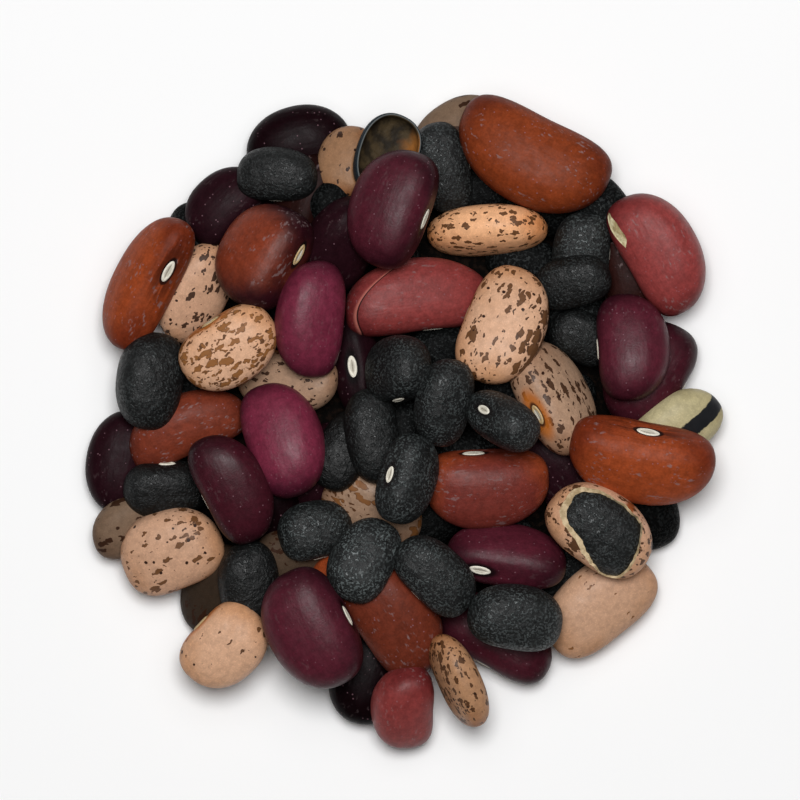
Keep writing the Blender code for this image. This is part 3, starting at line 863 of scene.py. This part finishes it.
def pinto_material(name, sheen=0.22):
    """Pale seed coat with separate brown blotches and dashes along its length, and small dark dots."""
    s = Shading(name)
    grain = s.read("grain")
    edge, spots, band = s.split(s.read("amounts"))
    brown, dots, fine = s.split(s.read("tint"))
    stripe, stain, _ = s.split(s.read("patches"))
    colour = s.mix(s.ramp(s.plus(edge, s.noise(grain, 0.3)), 0.6, 1.4), s.read("coat"), s.read("edge"))
    clouds = s.noise(grain, 1.4, detail=4.0)
    colour = s.brighten(colour, s.ramp(clouds, 0.4, 0.7, 1.0, 0.84))
    colour = s.brighten(colour, s.ramp(s.noise(grain, 5.0), 0.45, 0.75, 0.96, 1.14))

    wander = s.vector("SUBTRACT", s.noise(s.brighten(grain, fine), 1.1, detail=1.0, output="Color"), HALF)
    wander = s.brighten(wander, s.math("DIVIDE", WANDER, fine))
    drawn = s.vector("MULTIPLY", s.vector("ADD", grain, wander), DASH_STRETCH)
    patchy = s.times(s.minus(s.noise(grain, 0.25, detail=1.0), 0.5), 1.2)
    dense = s.plus(s.plus(spots, band), s.minus(patchy, 1.0))
    large, chance = s.cells(drawn, fine)
    share = s.plus(chance, dense)
    depth = s.minus(s.ramp(share, 0.0, 0.6, 0.10, 0.55), large)
    blotch = s.times(s.ramp(depth, 0.0, 0.04), s.ramp(share, 0.0, 0.02))
    small, other = s.cells(s.vector("ADD", drawn, OFF), s.times(fine, 1.7))
    little = s.plus(other, s.minus(dense, 0.25))
    thin = s.minus(s.ramp(little, 0.0, 0.6, 0.10, 0.50), small)
    dash = s.times(s.ramp(thin, 0.0, 0.07), s.ramp(little, 0.0, 0.02))
    mark = s.math("MAXIMUM", blotch, dash)
    inner = s.mix(s.ramp(depth, 0.0, 0.16), MARK_EDGE, MARK_BROWN)
    colour = s.mix(mark, colour, s.mix(brown, MARK_DARK, inner), 0.94)

    close, luck = s.cells(s.vector("ADD", grain, s.brighten(wander, 0.3)), 0.85)
    dot_size = s.ramp(s.minus(luck, s.minus(1.0, dots)), 0.0, 0.4, 0.0, 0.20)
    colour = s.mix(s.ramp(s.minus(dot_size, close), 0.0, 0.03), colour, MARK_DARK)
    colour = s.mix(s.fade(s.plus(stain, clouds), 0.9, 1.4), colour, STAIN, 0.9)
    colour = s.mix(s.fade(s.plus(stripe, s.times(clouds, 0.6)), 1.25, 1.4), colour, STRIPE)
    colour = s.mix(s.around_eye(1.7, 3.2), colour, ORANGE_RING, 0.85)
    colour = s.mix(s.around_eye(1.1, 1.45), colour, MARK_DARK, 0.9)
    relief = s.minus(s.noise(grain, 1.0, detail=4.0), s.times(mark, 0.12))
    rough = s.ramp(s.noise(grain, 1.0, detail=3.0), 0.3, 0.7, 0.40, 0.54)
    return s.finish(Base_Color=colour, Roughness=rough, Specular_IOR_Level=sheen, Normal=s.bump(relief, 0.09))


def eye_material():
    """The pale oval eye: cream rim, greyer middle, dark slit."""
    s = Shading("bean_eye")
    grain = s.read("grain")
    _, across, ring = s.split(s.read("eye_place"))
    colour = s.mix(s.ramp(ring, 0.35, 0.70), EYE_GREY, s.read("coat"))
    colour = s.mix(s.ramp(s.noise(grain, 4.0, detail=4.0), 0.35, 0.75, 0.0, 0.45), colour, EYE_GREY)
    slit = s.times(s.fade(s.math("ABSOLUTE", across), 0.04, 0.14), s.fade(ring, 0.5, 0.8))
    colour = s.mix(slit, colour, EYE_SLIT_BROWN, 0.45)
    colour = s.mix(s.ramp(ring, 0.96, 1.06), colour, EYE_RING)
    return s.finish(Base_Color=colour, Roughness=0.55, Normal=s.bump(s.noise(grain, 5.0, detail=3.0), 0.06))


def rim_material(name, low, high):
    """Pale broken wall of a seed coat, mottled in two tones."""
    s = Shading(name)
    place = s.read("grain")
    colour = s.mix(s.ramp(s.noise(place, 1.2, detail=4.0), 0.35, 0.65), low, high)
    return s.finish(Base_Color=colour, Roughness=0.6, Normal=s.bump(s.noise(place, 3.0, detail=4.0), 0.12))


def shell_material():
    """Empty coat: blue-grey outside and at its rim, olive brown inside with an orange stain."""
    s = Shading("empty_husk")
    place = s.read("grain")
    inside = s.split(s.read("amounts"))[0]
    clouds = s.noise(place, 0.7, detail=4.0)
    colour = s.mix(s.ramp(clouds, 0.35, 0.65), SHELL_DARK, SHELL_INSIDE)
    stain = s.plus(s.vector("DISTANCE", place, SHELL_STAIN), s.times(clouds, 1.5))
    colour = s.mix(s.ramp(stain, 1.7, 3.0, 0.9, 0.0), colour, SHELL_ORANGE)
    colour = s.mix(s.fade(inside, 0.5, 0.75), colour, SHELL_RIM)
    colour = s.mix(s.fade(inside, 0.1, 0.4), colour, SHELL_SKIN)
    return s.finish(Base_Color=colour, Roughness=0.6, Specular_IOR_Level=0.12,
                    Normal=s.bump(s.noise(place, 1.6, detail=5.0), 0.15))


def shade_core_material():
    """Painted shade under the beans: near black, mottled with dark brown."""
    s = Shading("painted_shade_core")
    place = s.read("grain")
    colour = s.mix(s.ramp(s.noise(place, 1.5, detail=5.0), 0.45, 0.65), CORE_SHADE_DARK, CORE_SHADE_BROWN)
    return s.finish(Base_Color=colour, Roughness=0.95, Specular_IOR_Level=0.05,
                    Normal=s.bump(s.noise(place, 2.0, detail=5.0), 0.4))


# The dome that shows in the gaps, a little under the solids' own, painted near black as deep shade
CORE_SINK = 0.4
CORE_RINGS = 24
CORE_SIDES = 72
CORE_LUMPS = 0.25


def make_core(draw):
    """The lumpy dome, down to the floor at its edge."""
    radii = np.linspace(0, CORE_RADIUS - CORE_SINK, CORE_RINGS + 1)[1:]
    radius, angle = polar_grid(radii, CORE_SIDES)
    height = core_height(radius) - CORE_SINK + draw.uniform(-CORE_LUMPS, CORE_LUMPS, len(radius))
    height = np.where(radius > radii[-2], 0.0, np.maximum(height, 0.0))
    points = np.stack([radius * np.cos(angle), radius * np.sin(angle), height], axis=1)
    faces = disc_faces(CORE_RINGS, CORE_SIDES)
    lone_piece("painted_shade_core", points, faces, {"grain": points}, shade_core_material(), "mixed_beans")


def make_beans(low_beans, upper_beans):
    """One mesh for each kind of bean, one for its darker ones of painted shade, and one for all the eyes."""
    shown = icosphere(SHOWN_FINENESS)
    low = icosphere(LOW_FINENESS)
    shell = next(b for b in upper_beans if b["kind"] == "shell")
    looks = {
        "black": (black_material, {}, "black_bean"),
        "burgundy": (kidney_material, dict(scuffs=0.15, sheen=0.17), "dark_red_bean"),
        "magenta": (kidney_material, dict(speckle=0.6, scuffs=0.15), "crimson_bean"),
        "brick": (kidney_material, dict(speckle=0.7, gloss=0.40, scuffs=0.8, ring=0.5), "brick_bean"),
        "orange": (kidney_material,
                   dict(speckle=1.2, gloss=0.40, scuffs=1.0, ring=0.4, folds=4.0, sheen=0.10), "orange_bean"),
        "pinto": (pinto_material, {}, "pinto_bean"),
    }
    eyes = Batch()
    for kind, (make_material, options, slot) in looks.items():
        alike = [b for b in low_beans + upper_beans if b["kind"] == kind]
        # Beans in the darker coats, painted shade, get their own copy of the material with less sheen
        shaded = [b for b in alike if b.get("coat") in SHADED_COATS.values()]
        lit = [b for b in alike if b.get("coat") not in SHADED_COATS.values()]
        for group, name, more in ((lit, kind, {}), (shaded, "dull_" + kind, dict(sheen=SHADED_SHEEN))):
            batch = Batch()
            for b in group:
                apart = np.hypot(*np.subtract(b["centre"], shell["centre"]))
                covered = kind == "pinto" and apart < TUCK_REACH
                add_bean(batch, b, low if b in low_beans else shown, shell if covered else None)
                if not covered:
                    add_eye(eyes, b)
            if group:
                batch.piece(name + "_beans", [make_material(name + "_bean_coat", **(options | more))], slot)
    eyes.piece("bean_eyes", [eye_material()], "bean_eye")


# The split seed coat: its wall, how far its broken edge slopes, and its opening in pixels of the view, at the
# outer and the inner edge of the broken wall
HUSK_WALL = 0.8
HUSK_SLOPE = 0.4
CUTTER_RISE = 1.0
HUSK_OPENING = (
    ((560, 509), (569, 509)), ((564, 500), (571, 502)), ((571, 491), (574, 498)), ((584, 487), (585, 496)),
    ((602, 491), (602, 497)), ((612, 497), (611, 500)), ((624, 504), (623, 507)), ((632, 512), (630, 514)),
    ((639, 519), (637, 520)), ((642, 526), (640, 527)), ((641, 540), (639, 540)), ((636, 557), (633, 556)),
    ((628, 571), (626, 568)), ((618, 578), (617, 575)), ((606, 577), (607, 573)), ((593, 567), (599, 563)),
    ((584, 556), (594, 553)), ((575, 540), (586, 539)), ((566, 528), (578, 528)), ((561, 519), (572, 520)),
)
OPENING_STEPS = 4
OPENING_JAG = 0.05
# The bean in it: centre in pixels, size, how far it is turned against the coat, and how far it stands up
INNER_AT = (601, 530)
INNER_SIZE = (12.2, 8.6)
INNER_TURN = -6.0
INNER_RISE = -0.2
SHARP_ANGLE = 35.0

# The empty half of a seed coat: its wall, and its rim as a share of its half height
SHELL_WALL = 0.35
SHELL_CUT = 0.30
SHELL_RINGS = 16
SHELL_SIDES = 56

# The pale chip on the brick bean at the right edge, as pixels of its left and right edges
CHIP_EDGES = (
    ((609, 212), (610, 213)), ((608, 217), (612, 217)), ((609, 223), (617, 223)), ((611, 229), (621, 230)),
    ((615, 236), (625, 235)), ((620, 242), (627, 240)), ((625, 247), (626, 248)),
)
CHIP_RISE = 0.16
CHIP_COLUMNS = 5


def rounded(points, steps):
    """A closed ring of points made smooth, with that many steps from each to the next."""
    rings = []
    share = np.arange(steps)[:, None] / steps
    for k in range(len(points)):
        before, here, after, beyond = (points[(k + d) % len(points)] for d in (-1, 0, 1, 2))
        rings.append(0.5 * (2 * here + (after - before) * share
                            + (2 * before - 5 * here + 4 * after - beyond) * share**2
                            + (3 * here - before - 3 * after + beyond) * share**3))
    return np.concatenate(rings)


def skin_from_above(points, faces):
    """A function that gives the height of a skin's upper side at a place, or beside it the nearest height."""
    tree = BVHTree.FromPolygons([tuple(p) for p in points], [tuple(int(k) for k in face) for face in faces])

    def height(place):
        hit = tree.ray_cast((place[0], place[1], OVER_ALL), (0, 0, -1))[0]
        if hit is None:
            hit = tree.find_nearest((place[0], place[1], points[:, 2].mean()))[0]
        return hit[2]

    return height


def make_husk(b, draw):
    """The split seed coat: a hollow skin with an opening cut into it, and the black bean inside."""
    directions, faces = icosphere(SHOWN_FINENESS)
    unit = unit_skin(directions, b)
    outer = placed(finished_skin(unit, b), b)
    inner = placed(finished_skin(unit, b) * (1 - HUSK_WALL / half_size(b)), b)
    coat = bpy.data.meshes.new("husk_coat")
    coat.from_pydata(np.concatenate([outer, inner]) * MM, [],
                     faces.tolist() + (faces[:, ::-1] + len(outer)).tolist())
    coat.polygons.foreach_set("material_index", [0] * len(faces) + [1] * len(faces))
    materials = [pinto_material("husk_coat"), rim_material("husk_rim", RIM_TAN, RIM_CREAM)]

    height = skin_from_above(outer, faces)
    edge = rounded(np.array([in_mm(pair[0]) for pair in HUSK_OPENING[::-1]]), OPENING_STEPS)
    inside = rounded(np.array([in_mm(pair[1]) for pair in HUSK_OPENING[::-1]]), OPENING_STEPS)
    edge += draw.normal(0, OPENING_JAG, edge.shape)
    inside += draw.normal(0, OPENING_JAG, inside.shape)
    levels = np.array([height(place) for place in edge])
    sides = len(edge)
    rings = (
        np.column_stack([inside, np.full(sides, levels.min() - 2 * HUSK_WALL)]),
        np.column_stack([inside, levels - HUSK_SLOPE]),
        np.column_stack([edge, levels]),
        np.column_stack([edge, np.full(sides, outer[:, 2].max() + CUTTER_RISE)]),
    )
    cutter_mesh = bpy.data.meshes.new("opening")
    count = len(rings) * sides
    cutter_mesh.from_pydata(np.concatenate(rings) * MM, [], strips(len(rings), sides)
                            + [tuple(reversed(range(sides))), tuple(range(count - sides, count))])
    cutter_mesh.polygons.foreach_set("material_index", [1] * len(cutter_mesh.polygons))
    for mesh in (coat, cutter_mesh):
        for material in materials:
            mesh.materials.append(material)

    husk = bpy.data.objects.new("husk_coat", coat)
    cutter = bpy.data.objects.new("opening", cutter_mesh)
    for thing in (husk, cutter):
        bpy.context.scene.collection.objects.link(thing)
    cut = husk.modifiers.new("cut", "BOOLEAN")
    cut.operation = "DIFFERENCE"
    cut.object = cutter
    cut.solver = "EXACT"
    opened = bpy.data.meshes.new_from_object(husk.evaluated_get(bpy.context.evaluated_depsgraph_get()))
    for thing in (husk, cutter):
        bpy.data.objects.remove(thing)
    points = np.array([v.co[:] for v in opened.vertices]) / MM
    write_marks(opened, bean_marks(in_own_frame(points, b), b))
    finish_piece("husk_coat", opened, [])
    opened.set_sharp_from_angle(angle=radians(SHARP_ANGLE))

    inner_bean = dict(b, kind="black", long=INNER_SIZE[0], wide=INNER_SIZE[1], coat="black")
    give_character([inner_bean], draw)
    inner_bean["centre"] = tuple(in_mm(INNER_AT))
    inner_bean["height"] = b["height"] + INNER_RISE
    inner_bean["matrix"] = b["matrix"] @ rotation(INNER_TURN, 0.0, 0.0)
    batch = Batch()
    add_bean(batch, inner_bean, (directions, faces))
    batch.piece("husk_bean", [black_material("husk_bean_coat")], "black_bean")


def make_shell(b):
    """The empty half of a seed coat, open upwards, with a rounded rim."""
    tilt = np.linspace(0, pi / 2 + np.arcsin(SHELL_CUT), SHELL_RINGS + 1)[1:]
    down, angle = polar_grid(tilt, SHELL_SIDES)
    directions = np.stack([np.sin(down) * np.cos(angle), np.sin(down) * np.sin(angle), -np.cos(down)], axis=1)
    outer = finished_skin(unit_skin(directions, b), b)
    inner = outer * (1 - SHELL_WALL / half_size(b))
    rim = (outer[-SHELL_SIDES:] + inner[-SHELL_SIDES:]) / 2 + np.array([0, 0, SHELL_WALL / 2])
    rings_up = inner[1:].reshape(SHELL_RINGS, SHELL_SIDES, 3)[::-1].reshape(-1, 3)
    skin = np.concatenate([outer, rim, rings_up, inner[:1]])
    last = len(skin) - 1
    top = last - SHELL_SIDES
    faces = strips(2 * SHELL_RINGS + 1, SHELL_SIDES, start=1)
    for k in range(SHELL_SIDES):
        following = (k + 1) % SHELL_SIDES
        faces.append((0, 1 + following, 1 + k))
        faces.append((last, top + k, top + following))
    is_inner = np.concatenate([np.zeros(len(outer)), np.full(len(rim), 0.5), np.ones(len(inner))])
    marks = {"grain": skin, "amounts": np.outer(is_inner, (1, 0, 0))}
    lone_piece("empty_husk", placed(skin, b), faces, marks, shell_material(), "husk")


def make_chip(b):
    """A pale chip of broken coat that stands a little proud of a bean's skin."""
    directions, faces = icosphere(SHOWN_FINENESS)
    height = skin_from_above(placed(finished_skin(unit_skin(directions, b), b), b), faces)
    rows = len(CHIP_EDGES)
    top = []
    for k, (left, right) in enumerate(CHIP_EDGES):
        for share in np.linspace(0, 1, CHIP_COLUMNS):
            place = in_mm(left) * (1 - share) + in_mm(right) * share
            arch = np.sin(pi * share) * 0.5 + 0.5
            top.append((*place, height(place) + CHIP_RISE * arch * np.sin(pi * (k + 0.5) / rows) ** 0.5))
    count = len(top)
    points = np.concatenate([top, np.array(top) - np.array([0, 0, 2 * CHIP_RISE])])
    grid = np.arange(count).reshape(rows, CHIP_COLUMNS)
    quads = np.stack([grid[:-1, :-1], grid[:-1, 1:], grid[1:, 1:], grid[1:, :-1]], axis=-1).reshape(-1, 4)
    border = [*grid[0], *grid[1:, -1], *grid[-1, -2::-1], *grid[-2:0:-1, 0]]
    sides = [(border[k], border[k - 1], border[k - 1] + count, border[k] + count) for k in range(len(border))]
    faces = [*quads[:, ::-1], *(quads + count), *sides]
    material = rim_material("coat_chip", CHIP_TAN, CHIP_CREAM)
    lone_piece("coat_chip", points, faces, {"grain": points}, material, "husk")


# The floor's half width and how far the camera sees, in metres, the floor's colour, and the lens and sensor
FLOOR_HALF = 2.0
CAMERA_REACH = 100.0
FLOOR_WHITE = (0.97, 0.97, 0.97, 1.0)
LENS = 500.0
SENSOR = 36.0
# Height at which the view's scale holds: about that of the middle of the beans that show
VIEW_HEIGHT = 10.0
# Two round lamps over the heap, a broad and a narrow one, and the weak light from all round
LIGHT_HEIGHT = 900.0
LIGHT_FORWARD = 150.0
SKY_SIZE = 1000.0
SKY_WATTS = 3.2
KEY_SIZE = 350.0
KEY_WATTS = 5.9
WORLD_STRENGTH = 0.01


def make_stage():
    """Pale floor, a broad and a narrow lamp overhead, and a camera that looks straight down."""
    mesh = bpy.data.meshes.new("floor")
    far = FLOOR_HALF
    mesh.from_pydata([(-far, -far, 0), (far, -far, 0), (far, far, 0), (-far, far, 0)], [], [(0, 1, 2, 3)])
    floor = bpy.data.objects.new("floor", mesh)
    s = Shading("floor")
    mesh.materials.append(s.finish(Base_Color=FLOOR_WHITE, Roughness=0.9))

    lamps = []
    for name, size, watts in (("sky_lamp", SKY_SIZE, SKY_WATTS), ("key_lamp", KEY_SIZE, KEY_WATTS)):
        lamp_data = bpy.data.lights.new(name, "AREA")
        lamp_data.shape = "DISK"
        lamp_data.size = size * MM
        lamp_data.energy = watts
        lamp = bpy.data.objects.new(name, lamp_data)
        lamp.location = (0.0, LIGHT_FORWARD * MM, LIGHT_HEIGHT * MM)
        lamp.rotation_euler = (-np.arctan2(LIGHT_FORWARD, LIGHT_HEIGHT), 0.0, 0.0)
        lamps.append(lamp)

    camera_data = bpy.data.cameras.new("camera")
    camera_data.lens = LENS
    camera_data.sensor_width = SENSOR
    camera_data.clip_end = CAMERA_REACH
    camera = bpy.data.objects.new("camera", camera_data)
    half_frame = FRAME_PIXELS / 2
    camera.location = (
        (half_frame - VIEW_CENTRE[0]) * MM_PER_PIXEL * MM,
        (VIEW_CENTRE[1] - half_frame) * MM_PER_PIXEL * MM,
        (VIEW_HEIGHT + FRAME_PIXELS * MM_PER_PIXEL * LENS / SENSOR) * MM,
    )
    scene = bpy.context.scene
    for thing in (floor, *lamps, camera):
        scene.collection.objects.link(thing)
    scene.camera = camera
    scene.view_settings.view_transform = "Standard"

    world = bpy.data.worlds.new("world")
    scene.world = world
    world.use_nodes = True
    background = world.node_tree.nodes["Background"]
    background.inputs["Color"].default_value = (1.0, 1.0, 1.0, 1.0)
    background.inputs["Strength"].default_value = WORLD_STRENGTH


def main():
    low_beans = fill_beans(np.random.default_rng(SEED)) + DEEP
    upper_beans = MIDDLE + TOP
    settle(low_beans, upper_beans)
    looks = np.random.default_rng(LOOKS_SEED)
    give_character(low_beans + upper_beans, looks)
    make_core(looks)
    make_beans(low_beans, upper_beans)
    for b in upper_beans:
        if b["kind"] == "husk":
            make_husk(b, looks)
        if b["kind"] == "shell":
            make_shell(b)
        if "chip" in b:
            make_chip(b)
    make_stage()


main()
